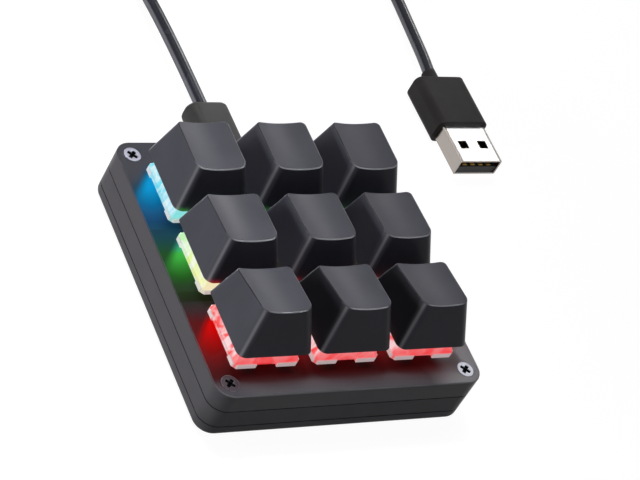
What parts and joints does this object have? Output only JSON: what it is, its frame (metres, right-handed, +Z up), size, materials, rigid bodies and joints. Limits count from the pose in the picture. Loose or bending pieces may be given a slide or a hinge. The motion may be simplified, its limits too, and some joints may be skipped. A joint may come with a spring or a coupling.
{
  "type": "macro keypad",
  "caption": "Small macro keypad: a square grid of sculpted keycaps on sprung, lit switches over a stacked metal case, with a USB lead.",
  "frame": {"origin": "on the table under the middle of the case", "axes": "+Z up, +Y to the keypad's back where the lead goes in, +X right"},
  "size_m": [0.108, 0.1749, 0.0277],
  "materials": {
    "case": "dark grey anodised",
    "screw_nickel": "bright nickel plated",
    "foot_rubber": "matt black",
    "board": "black solder mask",
    "chip": "matt black",
    "plug_metal": "satin plated",
    "plug_black": "matt black",
    "switch_clear": "clear frosted, lit from below",
    "switch_base": "milky white, lit from below",
    "contact_brass": "gold plated",
    "light": "white lens",
    "lead_mould": "dark grey moulded, fine grain",
    "cable": "dark grey, satin",
    "tie": "matt black",
    "keycap": "black, fine matt",
    "stem": "red, satin",
    "spring_steel": "bright wire"
  },
  "bodies": {
    "base": {"top_cover": "case", "middle_frame": "case", "bottom_cover": "case", "case_screws": "screw_nickel", "rubber_feet": "foot_rubber", "circuit_board": "board", "controller_chip": "chip", "board_parts": "chip", "usb_socket": "plug_metal", "socket_tongue": "plug_black", "switch_tops": "switch_clear", "switch_contacts": "contact_brass", "key_lights": "light", "lead_plug": "lead_mould", "lead_plug_shell": "plug_metal", "cable_out": "cable", "cable_coil": "cable", "cable_back": "cable", "cable_tie": "tie", "usb_a_mould": "lead_mould", "usb_a_shell": "plug_metal", "usb_a_tongue": "plug_black", "usb_a_contacts": "contact_brass", "spring_1": "spring_steel", "spring_2": "spring_steel", "spring_3": "spring_steel", "spring_4": "spring_steel", "spring_5": "spring_steel", "spring_6": "spring_steel", "spring_7": "spring_steel", "spring_8": "spring_steel", "spring_9": "spring_steel", "switch_base_1": "switch_base", "switch_base_2": "switch_base", "switch_base_3": "switch_base", "switch_base_4": "switch_base", "switch_base_5": "switch_base", "switch_base_6": "switch_base", "switch_base_7": "switch_base", "switch_base_8": "switch_base", "switch_base_9": "switch_base"},
    "key_1": {"keycap_1": "keycap", "stem_1": "stem"},
    "key_2": {"keycap_2": "keycap", "stem_2": "stem"},
    "key_3": {"keycap_3": "keycap", "stem_3": "stem"},
    "key_4": {"keycap_4": "keycap", "stem_4": "stem"},
    "key_5": {"keycap_5": "keycap", "stem_5": "stem"},
    "key_6": {"keycap_6": "keycap", "stem_6": "stem"},
    "key_7": {"keycap_7": "keycap", "stem_7": "stem"},
    "key_8": {"keycap_8": "keycap", "stem_8": "stem"},
    "key_9": {"keycap_9": "keycap", "stem_9": "stem"}
  },
  "joints": [
    {"name": "key_1_press", "type": "slide", "parent": "base", "child": "key_1", "axis": [0, 0, -1], "range_m": [0, 0.0036], "stiffness_N_per_m": 85, "springref_m": -0.0036, "deforming": ["spring_1"]},
    {"name": "key_2_press", "type": "slide", "parent": "base", "child": "key_2", "axis": [0, 0, -1], "range_m": [0, 0.0036], "stiffness_N_per_m": 85, "springref_m": -0.0036, "deforming": ["spring_2"]},
    {"name": "key_3_press", "type": "slide", "parent": "base", "child": "key_3", "axis": [0, 0, -1], "range_m": [0, 0.0036], "stiffness_N_per_m": 85, "springref_m": -0.0036, "deforming": ["spring_3"]},
    {"name": "key_4_press", "type": "slide", "parent": "base", "child": "key_4", "axis": [0, 0, -1], "range_m": [0, 0.0036], "stiffness_N_per_m": 85, "springref_m": -0.0036, "deforming": ["spring_4"]},
    {"name": "key_5_press", "type": "slide", "parent": "base", "child": "key_5", "axis": [0, 0, -1], "range_m": [0, 0.0036], "stiffness_N_per_m": 85, "springref_m": -0.0036, "deforming": ["spring_5"]},
    {"name": "key_6_press", "type": "slide", "parent": "base", "child": "key_6", "axis": [0, 0, -1], "range_m": [0, 0.0036], "stiffness_N_per_m": 85, "springref_m": -0.0036, "deforming": ["spring_6"]},
    {"name": "key_7_press", "type": "slide", "parent": "base", "child": "key_7", "axis": [0, 0, -1], "range_m": [0, 0.0036], "stiffness_N_per_m": 85, "springref_m": -0.0036, "deforming": ["spring_7"]},
    {"name": "key_8_press", "type": "slide", "parent": "base", "child": "key_8", "axis": [0, 0, -1], "range_m": [0, 0.0036], "stiffness_N_per_m": 85, "springref_m": -0.0036, "deforming": ["spring_8"]},
    {"name": "key_9_press", "type": "slide", "parent": "base", "child": "key_9", "axis": [0, 0, -1], "range_m": [0, 0.0036], "stiffness_N_per_m": 85, "springref_m": -0.0036, "deforming": ["spring_9"]}
  ]
}
